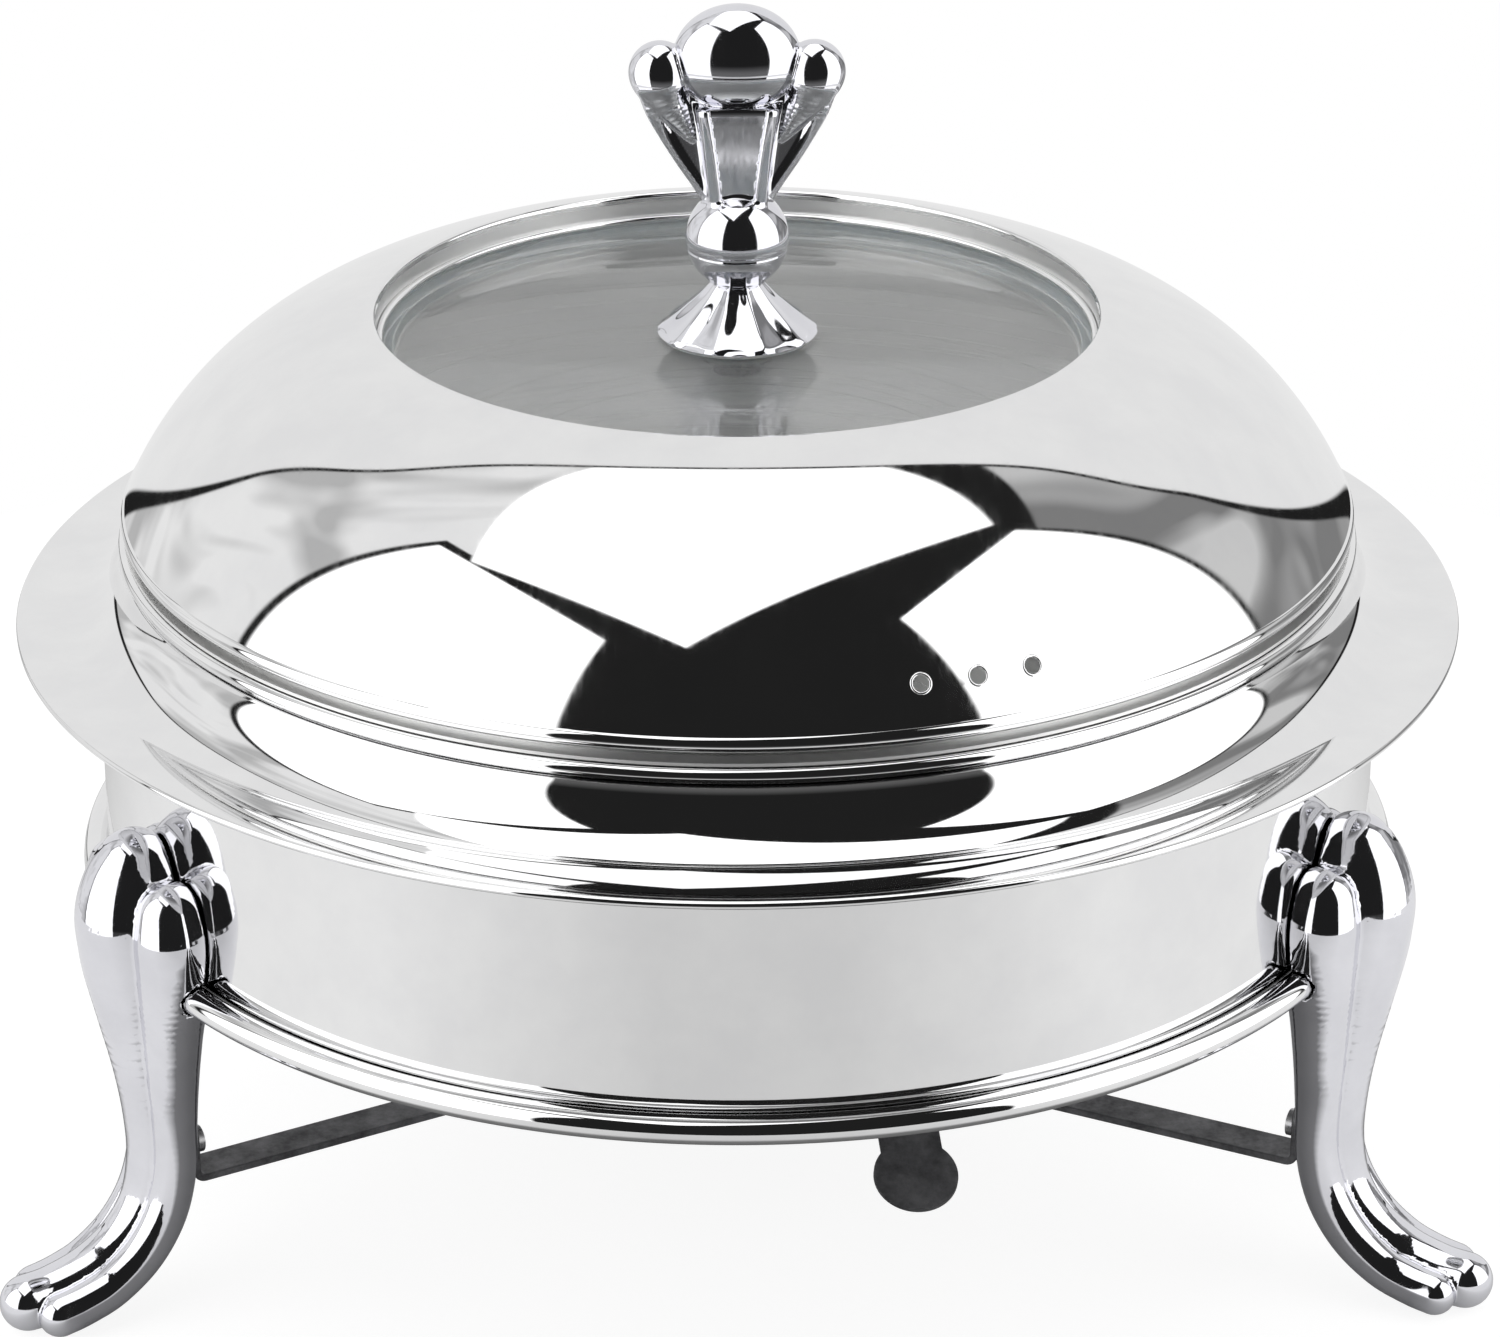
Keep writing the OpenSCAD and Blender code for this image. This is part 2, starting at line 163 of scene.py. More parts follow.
def cell_points(d, lo, step):
    """One point in each cell that the surface crosses: the mean of its edge crossings."""
    n = np.array(d.shape) - 1
    total = np.zeros((*n, 3))
    count = np.zeros(tuple(n))
    for axis in range(3):
        others = [k for k in range(3) if k != axis]
        for shift in ((0, 0), (0, 1), (1, 0), (1, 1)):
            start = [0, 0, 0]
            start[others[0]], start[others[1]] = shift
            stop = [s + m for s, m in zip(start, n)]
            a = d[tuple(slice(s, e) for s, e in zip(start, stop))]
            start2, stop2 = list(start), list(stop)
            start2[axis] += 1
            stop2[axis] += 1
            b = d[tuple(slice(s, e) for s, e in zip(start2, stop2))]
            cross = (a < 0) != (b < 0)
            t = np.where(cross, a / np.where(a == b, 1, a - b), 0)
            count += cross
            for k in range(3):
                total[..., k] += cross * (start[k] + (t if k == axis else 0))
    used = count > 0
    base = np.argwhere(used)
    points = np.array(lo) + step * (base + total[used] / count[used][:, None])
    index = np.full(tuple(n), -1)
    index[used] = np.arange(len(points))
    return points, index


def cell_faces(d, index):
    """A quad round every grid edge that the surface crosses."""
    quads = []
    for axis in range(3):
        u, v = [k for k in range(3) if k != axis]
        inner = [slice(None)] * 3
        inner[u], inner[v] = slice(1, -1), slice(1, -1)
        a = d[tuple(inner)]
        first, last = [slice(None)] * 3, [slice(None)] * 3
        first[axis], last[axis] = slice(0, -1), slice(1, None)
        a, b = a[tuple(first)], a[tuple(last)]
        where = np.argwhere((a < 0) != (b < 0))
        inside_first = (a < 0)[tuple(where.T)]
        cells = []
        for du, dv in ((0, 0), (1, 0), (1, 1), (0, 1)):
            c = where.copy()
            c[:, u] += du
            c[:, v] += dv
            cells.append(index[tuple(c.T)])
        quad = np.stack(cells, 1)
        flip = inside_first != (axis != 1)
        quad[flip] = quad[flip][:, ::-1]
        quads.append(quad)
    return np.vstack(quads)


def slope(field, points, h=0.15 * MM):
    out = np.zeros_like(points)
    for k in range(3):
        shift = np.zeros(3)
        shift[k] = h
        out[:, k] = (field(points + shift) - field(points - shift)) / (2 * h)
    return out


def solid_from_field(name, field, lo, hi, step, materials):
    """Smooth mesh of the surface where field is 0; field is negative inside."""
    d = sample_grid(field, lo, hi, step)
    points, index = cell_points(d, lo, step)
    faces = cell_faces(d, index)
    for _ in range(4):
        g = slope(field, points)
        move = field(points)[:, None] * g / np.maximum((g * g).sum(1), 0.05)[:, None]
        points -= np.clip(move, -step, step)
    obj = finish_mesh(name, points, faces, materials, 180.0)
    normals = slope(field, points)
    normals /= np.linalg.norm(normals, axis=1)[:, None]
    obj.data.normals_split_custom_set_from_vertices([tuple(v) for v in normals])
    return obj


def smooth_min(a, b, k):
    h = np.clip(0.5 + 0.5 * (b - a) / k, 0, 1)
    return b + (a - b) * h - k * h * (1 - h)


def smooth_max(a, b, k):
    return -smooth_min(-a, -b, k)


def chain(points, rows):
    """Distance to a run of round rods that taper from one (x, y, z, radius) row to the next."""
    best = np.full(len(points), 1e3)
    for a, b in zip(rows[:-1], rows[1:]):
        along = b[:3] - a[:3]
        t = np.clip((points - a[:3]) @ along / (along @ along), 0, 1)
        gap = points - a[:3] - t[:, None] * along
        best = np.minimum(best, np.sqrt((gap * gap).sum(1)) - a[3] - t * (b[3] - a[3]))
    return best


# ---- Materials ----

def new_material(name):
    mat = bpy.data.materials.new(name)
    mat.use_nodes = True
    tree = mat.node_tree
    return mat, tree, tree.nodes["Principled BSDF"]


def node(tree, kind, inputs=None, **settings):
    made = tree.nodes.new(kind)
    for key, value in settings.items():
        setattr(made, key, value)
    for key, value in (inputs or {}).items():
        if isinstance(value, bpy.types.NodeSocket):
            tree.links.new(value, made.inputs[key])
        else:
            made.inputs[key].default_value = value
    return made


def noise(tree, scale, detail=4.0, stretch=(1, 1, 1), rough=0.55):
    where = node(tree, "ShaderNodeTexCoord").outputs["Object"]
    mapped = node(tree, "ShaderNodeMapping", {"Vector": where, "Scale": stretch})
    return node(tree, "ShaderNodeTexNoise", {"Vector": mapped.outputs["Vector"], "Scale": scale,
                                             "Detail": detail, "Roughness": rough}).outputs["Fac"]


def between(tree, value, lo, hi, from_lo=0.3, from_hi=0.7):
    return node(tree, "ShaderNodeMapRange", {"Value": value, "From Min": from_lo, "From Max": from_hi,
                                             "To Min": lo, "To Max": hi}).outputs["Result"]


def two_colours(tree, value, dark, light, lo=0.35, hi=0.65):
    ramp = node(tree, "ShaderNodeValToRGB", {"Fac": value})
    ramp.color_ramp.elements[0].position = lo
    ramp.color_ramp.elements[1].position = hi
    ramp.color_ramp.elements[0].color = (*dark, 1)
    ramp.color_ramp.elements[1].color = (*light, 1)
    return ramp.outputs["Color"]


def bump(tree, height, strength, distance, under=None):
    inputs = {"Height": height, "Strength": strength, "Distance": distance}
    if under is not None:
        inputs["Normal"] = under
    return node(tree, "ShaderNodeBump", inputs).outputs["Normal"]


def polished(name, dark, light, rough_lo, rough_hi, wave):
    """Bright plate: cloudy buffing marks, fine scratches and a faint waviness of the surface."""
    mat, tree, shader = new_material(name)
    shader.inputs["Metallic"].default_value = 1.0
    clouds = noise(tree, 60.0, 5.0)
    scratches = noise(tree, 900.0, 2.0, stretch=(1.0, 0.06, 0.25))
    mixed = node(tree, "ShaderNodeMath", {0: clouds, 1: scratches}, operation="MULTIPLY").outputs[0]
    tree.links.new(two_colours(tree, clouds, dark, light), shader.inputs["Base Color"])
    tree.links.new(between(tree, mixed, rough_lo, rough_hi, 0.12, 0.42), shader.inputs["Roughness"])
    soft = bump(tree, noise(tree, 14.0, 1.5), 0.5, wave)
    tree.links.new(bump(tree, scratches, 0.15, wave * 0.04, soft), shader.inputs["Normal"])
    return mat


def satin(name, dark, light, rough_lo, rough_hi):
    """Drawn sheet with rings of fine brushing round the axis."""
    mat, tree, shader = new_material(name)
    shader.inputs["Metallic"].default_value = 1.0
    where = node(tree, "ShaderNodeTexCoord").outputs["Object"]
    split = node(tree, "ShaderNodeSeparateXYZ", {"Vector": where})
    flat = node(tree, "ShaderNodeCombineXYZ", {"X": split.outputs["X"], "Y": split.outputs["Y"]})
    reach = node(tree, "ShaderNodeVectorMath", {0: flat.outputs[0]}, operation="LENGTH").outputs["Value"]
    rings = node(tree, "ShaderNodeCombineXYZ", {"X": reach, "Z": split.outputs["Z"]}).outputs[0]
    lines = node(tree, "ShaderNodeTexNoise", {"Vector": rings, "Scale": 1400.0, "Detail": 3.0}).outputs["Fac"]
    clouds = noise(tree, 35.0, 4.0)
    tree.links.new(two_colours(tree, clouds, dark, light), shader.inputs["Base Color"])
    tree.links.new(between(tree, lines, rough_lo, rough_hi), shader.inputs["Roughness"])
    tree.links.new(bump(tree, lines, 0.25, 0.02 * MM), shader.inputs["Normal"])
    return mat


def mill_strip(name):
    """Dark pickled steel strip: mottled, with pale rubbed spots."""
    mat, tree, shader = new_material(name)
    shader.inputs["Metallic"].default_value = 0.75
    blotches = noise(tree, 90.0, 6.0, rough=0.7)
    tree.links.new(two_colours(tree, blotches, (0.09, 0.09, 0.095), (0.26, 0.26, 0.27)),
                   shader.inputs["Base Color"])
    grain = noise(tree, 700.0, 3.0)
    tree.links.new(between(tree, grain, 0.34, 0.6), shader.inputs["Roughness"])
    tree.links.new(bump(tree, blotches, 0.3, 0.05 * MM), shader.inputs["Normal"])
    return mat


def fastener(name):
    mat, tree, shader = new_material(name)
    shader.inputs["Metallic"].default_value = 1.0
    clouds = noise(tree, 400.0, 5.0)
    tree.links.new(two_colours(tree, clouds, (0.42, 0.42, 0.44), (0.66, 0.66, 0.66)),
                   shader.inputs["Base Color"])
    tree.links.new(between(tree, clouds, 0.18, 0.42), shader.inputs["Roughness"])
    return mat


def clear_glass(name):
    mat, tree, shader = new_material(name)
    shader.inputs["Transmission Weight"].default_value = 0.85
    shader.inputs["IOR"].default_value = 1.5
    shader.inputs["Alpha"].default_value = 0.45
    smears = noise(tree, 40.0, 5.0)
    tree.links.new(two_colours(tree, smears, (0.88, 0.91, 0.90), (0.94, 0.96, 0.95)),
                   shader.inputs["Base Color"])
    tree.links.new(between(tree, smears, 0.0, 0.03), shader.inputs["Roughness"])
    return mat


def rubber(name):
    mat, tree, shader = new_material(name)
    grain = noise(tree, 500.0, 4.0)
    tree.links.new(two_colours(tree, grain, (0.76, 0.77, 0.76), (0.86, 0.87, 0.86)),
                   shader.inputs["Base Color"])
    tree.links.new(between(tree, grain, 0.4, 0.6), shader.inputs["Roughness"])
    shader.inputs["Subsurface Weight"].default_value = 0.2
    return mat


def felt(name):
    mat, tree, shader = new_material(name)
    fibres = noise(tree, 900.0, 6.0, stretch=(1.0, 0.3, 1.0), rough=0.8)
    tree.links.new(two_colours(tree, fibres, (0.55, 0.52, 0.44), (0.86, 0.84, 0.76)),
                   shader.inputs["Base Color"])
    shader.inputs["Roughness"].default_value = 0.95
    tree.links.new(bump(tree, fibres, 0.9, 0.4 * MM), shader.inputs["Normal"])
    return mat


SHEET_CHROME = polished("sheet_chrome", (0.86, 0.86, 0.865), (0.90, 0.90, 0.90), 0.02, 0.06, 0.03 * MM)
CAST_CHROME = polished("cast_chrome", (0.76, 0.76, 0.80), (0.82, 0.82, 0.86), 0.03, 0.10, 0.05 * MM)
SATIN = satin("satin_steel_inside", (0.84, 0.84, 0.84), (0.90, 0.90, 0.89), 0.24, 0.42)
STRIP = mill_strip("dark_mill_strip")
FASTENER = fastener("plated_fastener")
GLASS = clear_glass("window_pane")
RUBBER = rubber("silicone_seal")
FELT = felt("wick_felt")


# ---- Pieces ----

def place(obj, node_name, body):
    """obj stands for a CAD node, on its body, in its finish."""
    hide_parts(node_name)
    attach(obj, body)
    return obj


def build_water_pan():
    corner = 9 * MM
    edge = 0.45 * MM
    outside, inside = both_sides(
        [(0, PAN_FLOOR_Z)]
        + arc((PAN_R - corner, PAN_FLOOR_Z + corner), corner, -90, 0, 10)
        + arc((PAN_R + edge, BRIM_Z - 2 * SHEET - edge), edge, 180, 90, 4)
        + [(FLANGE_R, BRIM_Z - 2 * SHEET)], SHEET)
    inside[-1] = (0, inside[-1][1])
    count = len(outside)
    obj = lathe("water_pan_drum", outside + inside, [SHEET_CHROME, SATIN],
                second=[(count, count + len(inside) - 1)])
    place(obj, "water_pan", "water_pan")


def build_brim_collar():
    cove_r = 15 * MM
    centre = (168 * MM, BRIM_Z + cove_r)
    lip_z = high("brim_collar").z - SHEET
    lip_r = 150.4 * MM
    hem = 1 * MM
    path = arc((BRIM_R - hem, BRIM_Z - hem), hem, -90, 90, 10)
    path += arc(centre, cove_r, 270, 180, 40)
    path += arc((centre[0] - cove_r - 0.6 * MM, lip_z), 0.6 * MM, 0, 90, 5)[1:-1]
    top = [(lip_r + 0.3 * MM, lip_z + 0.6 * MM), (lip_r, lip_z + 0.3 * MM), (lip_r, lip_z)]
    under = [(centre[0] - cove_r - 1.2 * MM, lip_z - 0.2 * MM)]
    under += arc(centre, cove_r + SHEET, 180, 270, 40)
    under += [(BRIM_R - 5 * MM, BRIM_Z - SHEET), (BRIM_R - 5 * MM, BRIM_Z - 2 * SHEET)]
    obj = lathe("brim_collar_shell", path + top + under, [SHEET_CHROME], sides=320)
    place(obj, "brim_collar", "water_pan")


def build_food_pan():
    floor_z = low("food_pan").z
    rim_z = high("food_pan").z
    bead_r = 1.95 * MM
    bead = (high("food_pan").x - bead_r, rim_z - bead_r)
    wall_r, base_r, corner, thick = 149.8 * MM, 143 * MM, 12 * MM, 0.8 * MM
    outside, inside = both_sides(
        [(0, floor_z)] + arc((base_r - corner, floor_z + corner), corner, -90, 2, 14)
        + [(wall_r, rim_z - 3 * MM)], thick)
    inside[-1] = (0, inside[-1][1])
    rolled = arc(bead, bead_r, -140, 120, 24)
    lead_in = [(bead[0] - 1.6 * MM, rim_z - 0.35 * MM), (wall_r - 0.9 * MM, rim_z - 1.2 * MM)]
    outline = outside + rolled + lead_in + inside
    first = len(outside) + len(rolled) + 1
    obj = lathe("food_pan_shell", outline, [SHEET_CHROME, SATIN], second=[(first, len(outline) - 1)])
    place(obj, "food_pan", "food_pan")


def dome_arc():
    """Centre, radius and end angles of the dome's section, from the lid's box and its window's edge."""
    start = np.array([152 * MM, BRIM_Z + 27 * MM])
    end = np.array([WINDOW_R, high("lid_dome").z - EDGE_LIP])
    lean = math.radians(DOME_LEAN)
    gap = start - end
    radius = -(gap @ gap) / (2 * (gap[0] * math.sin(lean) + gap[1] * math.cos(lean)))
    centre = end - radius * np.array([math.sin(lean), math.cos(lean)])
    a0 = math.degrees(math.atan2(start[1] - centre[1], start[0] - centre[0]))
    return centre, radius, a0, 90 - DOME_LEAN


def vent_frames(centre, radius):
    """Place and outward direction of each steam vent."""
    lift = math.radians(32)
    for turn in (14.5, 19.8, 25.1):
        a = math.radians(turn - 90)
        out = Vector((math.cos(a) * math.cos(lift), math.sin(a) * math.cos(lift), math.sin(lift)))
        middle = Vector((centre[0] * math.cos(a), centre[0] * math.sin(a), centre[1]))
        yield middle + float(radius) * out, out


def vent_rim(out, at):
    """Small rolled edge round a vent, as a separate mesh."""
    rim_r, tube_r, sides, around = 2.25 * MM, 0.38 * MM, 40, 12
    turn = out.to_track_quat("Z", "Y")
    verts, faces = [], []
    for i in range(sides):
        a = 2 * math.pi * i / sides
        for k in range(around):
            b = 2 * math.pi * k / around
            r = rim_r + tube_r * math.cos(b)
            p = Vector((r * math.cos(a), r * math.sin(a), tube_r * 0.8 * math.sin(b) - 0.12 * MM))
            verts.append(at + turn @ p)
            here, there = i * around, (i + 1) % sides * around
            n = (k + 1) % around
            faces.append((here + k, there + k, there + n, here + n))
    return finish_mesh("vent_rim", verts, faces, [SHEET_CHROME], 180)


def vent_cutter(out, at):
    bpy.ops.mesh.primitive_cylinder_add(vertices=40, radius=2.2 * MM, depth=8 * MM)
    cutter = bpy.context.object
    cutter.matrix_world = Matrix.Translation(at) @ out.to_track_quat("Z", "Y").to_matrix().to_4x4()
    return cutter


def join(target, others):
    bpy.ops.object.select_all(action="DESELECT")
    for o in [target, *others]:
        o.select_set(True)
    bpy.context.view_layer.objects.active = target
    bpy.ops.object.join()
    return target


def cut(target, cutter):
    """Cuts the holes with an exact boolean and gives the target the cut mesh."""
    mod = target.modifiers.new("holes", "BOOLEAN")
    mod.operation = "DIFFERENCE"
    mod.solver = "EXACT"
    mod.object = cutter
    bpy.context.view_layer.update()
    shape = bpy.data.meshes.new_from_object(target.evaluated_get(bpy.context.evaluated_depsgraph_get()))
    target.modifiers.clear()
    target.data = shape
    bpy.data.objects.remove(cutter)


def build_lid_dome():
    centre, radius, a0, a1 = dome_arc()
    bead_r = 2.3 * MM
    bead = (150.65 * MM, low("lid_dome").z + bead_r)
    shelf_z = low("window_gasket").z
    shelf_r = WELL_R - 4.8 * MM
    edge_z = high("lid_dome").z - EDGE_LIP
    skin = arc(centre, radius, a0, a1, 72)
    roll = arc((WINDOW_R, edge_z - 1.1 * MM), 1.1 * MM, 72, 180, 8)
    outside = skin[:-1] + roll + [(WELL_R, edge_z - 2 * MM), (WELL_R, shelf_z + 0.6 * MM)]
    outside += arc((WELL_R - 0.6 * MM, shelf_z + 0.6 * MM), 0.6 * MM, 0, -90, 4)[1:]
    outside += [(shelf_r, shelf_z)]
    inside = [(shelf_r, shelf_z - SHEET), (WELL_R + SHEET * 0.4, shelf_z - SHEET)]
    inside += arc((WELL_R + 0.2 * MM, shelf_z - 0.2 * MM), 0.8 * MM, -90, 0, 4)[1:]
    inside += [(WELL_R + SHEET, edge_z - 3 * MM)]
    inside += arc(centre, radius - SHEET, a1 - 1.5, a0, 60)
    hem = arc(bead, bead_r, 150, 415, 40)
    outline = outside + inside + hem
    count = len(outside)
    well = len(skin) - 1 + len(roll)
    obj = lathe("lid_dome_shell", outline, [SHEET_CHROME, SATIN], sides=360,
                second=[(well, count + len(inside) - 1)])
    rims, cutters = [], []
    for at, out in vent_frames(centre, radius):
        rims.append(vent_rim(out, at))
        cutters.append(vent_cutter(out, at))
    cut(obj, join(cutters[0], cutters[1:]))
    join(obj, rims)
    place(obj, "lid_dome", "lid")


def build_seat_ring():
    lo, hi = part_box("lid_seat_ring")
    skirt_r, thick = 148.3 * MM, 0.8 * MM
    step_z = high("food_pan").z + LIFT_GAP
    outline = [(skirt_r - thick, lo.z), (skirt_r, lo.z), (skirt_r, step_z), (hi.x, step_z),
               (hi.x, step_z + thick), (skirt_r, step_z + thick), (skirt_r, hi.z), (skirt_r - thick, hi.z)]
    obj = lathe("lid_seat_ring_band", outline, [SATIN])
    place(obj, "lid_seat_ring", "lid")


def build_support_ring():
    obj = lathe("support_ring_rod", arc((RING_R, RING_Z), RING_ROD, 0, 348.75, 31), [SHEET_CHROME],
                sides=320, sharp=180)
    place(obj, "support_ring", "stand")


def build_window():
    lo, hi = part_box("window_glass")
    hole_r, edge = 4.2 * MM, 0.6 * MM
    outline = arc((hi.x - edge, lo.z + edge), edge, -90, 0, 3)
    outline += arc((hi.x - edge, hi.z - edge), edge, 0, 90, 3)
    outline += [(hole_r, hi.z), (hole_r, lo.z)]
    obj = lathe("window_glass_pane", outline, [GLASS], sharp=50)
    place(obj, "window_glass", "lid")
    lo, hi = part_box("window_snap_ring")
    wire = (hi.z - lo.z) / 2
    obj = lathe("window_snap_ring_wire", arc((hi.x - wire, lo.z + wire), wire, 0, 337.5, 15), [SHEET_CHROME],
                sharp=180)
    place(obj, "window_snap_ring", "lid")
    lo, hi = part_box("window_gasket")
    lip, inner = 0.6 * MM, 84.5 * MM
    outline = [(inner, lo.z), (hi.x, lo.z), (hi.x, hi.z), (hi.x - lip, hi.z), (hi.x - lip, lo.z + lip),
               (inner, lo.z + lip)]
    obj = lathe("window_gasket_strip", outline, [RUBBER])
    place(obj, "window_gasket", "lid")


# Leg stations, in mm from the knee to the toes: the centre reed's distance from the axis, height
# and radius, then the side reeds' setback, sideways offset, height and radius.
CENTRE_REED = [
    (166.8, 117.4, 9.4), (167.4, 112.0, 12.2), (168.0, 105.0, 13.9), (168.0, 98.0, 13.6), (168.0, 92.0, 12.8),
    (167.2, 80.0, 11.0), (165.8, 64.0, 9.0), (165.0, 50.0, 7.9), (165.2, 38.0, 7.5), (168.0, 26.0, 7.3),
    (174.4, 16.8, 7.2), (184.0, 10.5, 7.1), (194.0, 7.4, 7.1), (201.1, 6.9, 7.0)
]
SIDE_REED = [
    (164.4, 14.6, 109.8, 8.2), (164.3, 15.0, 104.0, 9.4), (164.2, 14.4, 98.0, 9.3), (164.0, 12.8, 88.0, 8.6),
    (163.9, 10.8, 76.0, 7.4), (163.7, 9.1, 62.0, 6.3), (163.4, 7.9, 50.0, 5.6), (163.8, 7.7, 38.0, 5.4),
    (167.0, 7.8, 26.2, 5.4), (173.4, 7.9, 16.6, 5.4), (182.0, 7.9, 10.0, 5.4), (190.0, 7.8, 7.0, 5.4),
    (196.0, 7.8, 5.8, 5.4)
]


def leg_field(points):
    """Signed distance to a leg that stands along +X: three reeds, cut by the drum, ring and table."""
    p = points.copy()
    p[:, 1] = np.abs(p[:, 1])
    middle = chain(p, LEG_MIDDLE)
    side = chain(p, LEG_SIDE)
    d = smooth_min(middle, side, 0.6 * MM)
    reach = np.hypot(p[:, 0], p[:, 1])
    seat = np.minimum(PAN_R + LIFT_GAP - reach, p[:, 2] - PAN_FLOOR_Z + LIFT_GAP)
    d = smooth_max(d, seat, 0.7 * MM)
    groove = RING_ROD + 0.35 * MM - np.hypot(reach - RING_R, p[:, 2] - RING_Z)
    d = smooth_max(d, groove, 0.5 * MM)
    tab = np.minimum(high("bar_rear").y + 0.05 * MM - p[:, 0], 53 * MM - p[:, 2])
    d = smooth_max(d, tab, 0.5 * MM)
    return smooth_max(d, -p[:, 2], 0.8 * MM)


def reed_rows(rows, centred):
    rows = spline(rows, 6) * MM
    if centred:
        return np.stack([rows[:, 0], 0 * rows[:, 0], rows[:, 1], rows[:, 2]], 1)
    return rows


LEG_MIDDLE = reed_rows(CENTRE_REED, True)
LEG_SIDE = reed_rows(SIDE_REED, False)


def build_legs():
    lo = np.array([152, -28, -3]) * MM
    hi = np.array([212, 28, 132]) * MM
    step = 1.0 * MM
    first = solid_from_field("leg_front_left_casting", leg_field, lo, hi, step, [CAST_CHROME])
    legs = {"leg_front_left": first}
    for name in ("leg_front_right", "leg_rear"):
        legs[name] = bpy.data.objects.new(name + "_casting", first.data.copy())
        bpy.context.scene.collection.objects.link(legs[name])
    for name, obj in legs.items():
        turn = math.radians(TURNS[name.removeprefix("leg_")])
        obj.data.transform(Matrix.Rotation(turn, 4, "Z"))
        place(obj, name, "stand")


def build_bars():
    """Strips from the plate to the ankles, each bent up into a round-topped tab."""
    lo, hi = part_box("bar_rear")
    thick, half, bend = 2 * MM, (hi.x - lo.x) / 2, 1.4 * MM
    top_z = lo.z + thick
    run = [(lo.y, top_z, half - 1 * MM), (lo.y + 1 * MM, top_z, half)]
    run += [(hi.y - thick - bend - 40 * MM * k, top_z, half) for k in (2, 1)]
    run += [(r, z, half) for r, z in arc((hi.y - thick - bend, top_z + bend), bend, -90, 0, 6)]
    crown_z = hi.z - half
    run += [(hi.y - thick, crown_z, half)]
    run += [(hi.y - thick, crown_z + half * math.sin(a), max(half * math.cos(a), 0.3 * MM))
            for a in (math.radians(d) for d in range(9, 90, 9))]
    path = np.array(run)
    step = np.gradient(path[:, :2], axis=0)
    step /= np.linalg.norm(step, axis=1)[:, None]
    bevel = 0.28 * MM
    verts, faces = [], []
    for (r, z, w), (tr, tz) in zip(path, step):
        b = min(bevel, w * 0.4)
        for side, deep in ((-w + b, 0), (w - b, 0), (w, b), (w, thick - b), (w - b, thick), (-w + b, thick),
                           (-w, thick - b), (-w, b)):
            verts.append((r + tz * deep, side, z - tr * deep))
    for i in range(len(path) - 1):
        for k in range(8):
            n = (k + 1) % 8
            faces.append((i * 8 + k, (i + 1) * 8 + k, (i + 1) * 8 + n, i * 8 + n))
    faces.append(tuple(range(8)))
    faces.append(tuple(range(len(path) * 8 - 1, len(path) * 8 - 9, -1)))
    for where, turn in TURNS.items():
        obj = finish_mesh("bar_" + where + "_strip", verts, faces, [STRIP], 30)
        obj.data.transform(Matrix.Rotation(math.radians(turn), 4, "Z"))
        place(obj, "bar_" + where, "stand")


def build_plate():
    lo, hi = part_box("burner_plate")
    edge = 0.35 * MM
    outline = [(0, lo.z)] + arc((hi.x - edge, lo.z + edge), edge, -90, 0, 3)
    outline += arc((hi.x - edge, hi.z - edge), edge, 0, 90, 3) + [(0, hi.z)]
    place(lathe("burner_plate_disc", outline, [STRIP], sides=160), "burner_plate", "stand")


def egg(p, centre, half):
    """Near-true distance to an ellipsoid, sizes in mm."""
    off = p - np.array(centre) * MM
    half = np.array(half) * MM
    near = np.linalg.norm(off / half, axis=1)
    steep = np.linalg.norm(off / half ** 2, axis=1)
    return near * (near - 1) / np.maximum(steep, 1)


def crown_stem(x, y, z):
    """Four-sided stem that widens upwards, its broad faces sunk between rounded ridges."""
    rise = np.clip((z - 99 * MM) / (26 * MM), 0, 1)
    wide = (6.9 + 3.0 * rise ** 1.5) * MM
    deep = (5.8 + 2.2 * rise ** 1.5) * MM
    corner = 2.4 * MM
    qx, qy = x - wide + corner, y - deep + corner
    d = np.hypot(np.maximum(qx, 0), np.maximum(qy, 0)) + np.minimum(np.maximum(qx, qy), 0) - corner
    panel = np.maximum(x - wide + 3.1 * MM, deep - 1.1 * MM - y)
    d = smooth_max(d, -panel, 0.9 * MM)
    return smooth_max(d, np.maximum(z - 126.5 * MM, 97 * MM - z), 0.8 * MM)


def crown_field(points):
    """Distance to the knob's crown, ball and neck: a bulb and two side lobes on a winged stem."""
    p = points.copy()
    p[:, :2] = np.abs(p[:, :2])
    p[:, 2] -= BRIM_Z
    x, y, z = p.T
    rim = chain(p, CROWN_RIM)
    rim_x = np.interp(z, CROWN_RIM[::-1, 2], CROWN_RIM[::-1, 0])
    web = np.maximum(np.maximum(x - rim_x, y - 1.3 * MM), np.maximum(z - 133 * MM, 100 * MM - z))
    d = smooth_min(crown_stem(x, y, z), smooth_min(rim, web, 0.8 * MM), 2.2 * MM)
    bulb = egg(p, (0, 0, 137.6), (15.4, 10.4, 13.0))
    d = smooth_min(d, bulb, 0.5 * MM)
    lobe = smooth_min(egg(p, (18.6, 0, 134.0), (7.6, 6.6, 7.7)), chain(p, CROWN_TAIL), 2.0 * MM)
    d = smooth_min(d, lobe, 0.5 * MM)
    ball = np.linalg.norm(p - np.array([0, 0, 92 * MM]), axis=1) - 12.65 * MM
    seam = 0.6 * MM - np.hypot(np.hypot(x, y) - 12.7 * MM, z - 89.6 * MM)
    ball = smooth_max(ball, seam, 0.3 * MM)
    d = smooth_min(d, ball, 0.8 * MM)
    neck = np.maximum(np.hypot(x, y) - 6.4 * MM, np.abs(z - 84 * MM) - 3.1 * MM)
    ring = np.hypot(np.hypot(x, y) - 6.2 * MM, z - 82.2 * MM) - 1.3 * MM
    return smooth_min(smooth_min(d, neck, 0.8 * MM), ring, 0.3 * MM)


